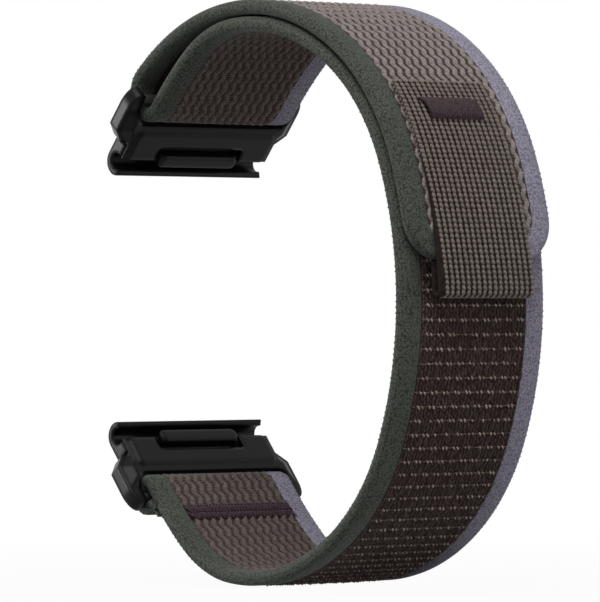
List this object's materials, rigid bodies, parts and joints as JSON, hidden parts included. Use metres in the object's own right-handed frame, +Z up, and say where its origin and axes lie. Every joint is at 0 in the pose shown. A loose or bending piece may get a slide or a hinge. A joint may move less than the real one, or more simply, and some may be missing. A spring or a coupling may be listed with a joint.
{
  "type": "hook-and-loop watch strap",
  "caption": "Woven nylon watch strap closed into a loop, with a fold-back hook-and-loop tail, a pull tab and black metal quick-release connectors for the lug pins.",
  "frame": {"origin": "on the wrist axis at the centre of the closed loop, mid width", "axes": "+Z up along the loop's height, +Y across the band's width toward the lavender edge, +X away from the watch"},
  "size_m": [0.0667, 0.0306, 0.0799],
  "materials": {
    "band_weave": "woven nylon with bound edges",
    "tab_weave": "basket weave webbing",
    "hook_pile": "moulded hook tape",
    "stitch_thread": "dense zigzag stitching",
    "black_metal": "satin black coating",
    "bar_steel": "plain",
    "spring_steel": "bright wire"
  },
  "bodies": {
    "band": {"band_loop": "band_weave", "seam_stitches": "stitch_thread"},
    "tail_bend": {"tail_bend": "band_weave"},
    "tail_end": {"tail_end": "band_weave", "hook_patch": "hook_pile", "pull_tab_root": "tab_weave", "tab_bar_tack": "stitch_thread"},
    "pull_tab": {"pull_tab": "tab_weave"},
    "upper_connector": {"upper_connector_frame": "black_metal", "upper_hook_jaw": "black_metal", "upper_jaw_rivet_far": "black_metal", "upper_jaw_rivet_near": "black_metal", "upper_latch_spring_far": "spring_steel", "upper_latch_spring_near": "spring_steel", "upper_strap_bar": "bar_steel"},
    "upper_latch": {"upper_latch_slider": "black_metal"},
    "lower_connector": {"lower_connector_frame": "black_metal", "lower_hook_jaw": "black_metal", "lower_jaw_rivet_far": "black_metal", "lower_jaw_rivet_near": "black_metal", "lower_latch_spring_far": "spring_steel", "lower_latch_spring_near": "spring_steel", "lower_strap_bar": "bar_steel"},
    "lower_latch": {"lower_latch_slider": "black_metal"}
  },
  "joints": [
    {"name": "tail_peel", "type": "hinge", "parent": "band", "child": "tail_bend", "pos_m": [0.00503, 0, 0.03982], "axis": [0, -1, 0], "range_deg": [0, 40]},
    {"name": "tail_lift", "type": "hinge", "parent": "tail_bend", "child": "tail_end", "pos_m": [0.0163, 0, 0.03451], "axis": [0, -1, 0], "range_deg": [0, 60]},
    {"name": "pull_tab_lift", "type": "hinge", "parent": "tail_end", "child": "pull_tab", "pos_m": [0.0275, 0, 0.02307], "axis": [0, -1, 0], "range_deg": [0, 60]},
    {"name": "upper_connector_swing", "type": "hinge", "parent": "band", "child": "upper_connector", "pos_m": [-0.0261, 0, 0.02803], "axis": [0, 1, 0], "range_deg": [-20, 25]},
    {"name": "upper_latch_slide", "type": "slide", "parent": "upper_connector", "child": "upper_latch", "axis": [0.6428, 0, 0.766], "range_m": [0, 0.0009], "stiffness_N_per_m": 400, "springref_m": -0.0009, "deforming": ["upper_latch_spring_near", "upper_latch_spring_far"]},
    {"name": "lower_connector_swing", "type": "hinge", "parent": "band", "child": "lower_connector", "pos_m": [-0.02579, 0, -0.02738], "axis": [0, -1, 0], "range_deg": [-20, 25]},
    {"name": "lower_latch_slide", "type": "slide", "parent": "lower_connector", "child": "lower_latch", "axis": [0.6428, 0, -0.766], "range_m": [0, 0.0009], "stiffness_N_per_m": 400, "springref_m": -0.0009, "deforming": ["lower_latch_spring_near", "lower_latch_spring_far"]}
  ]
}
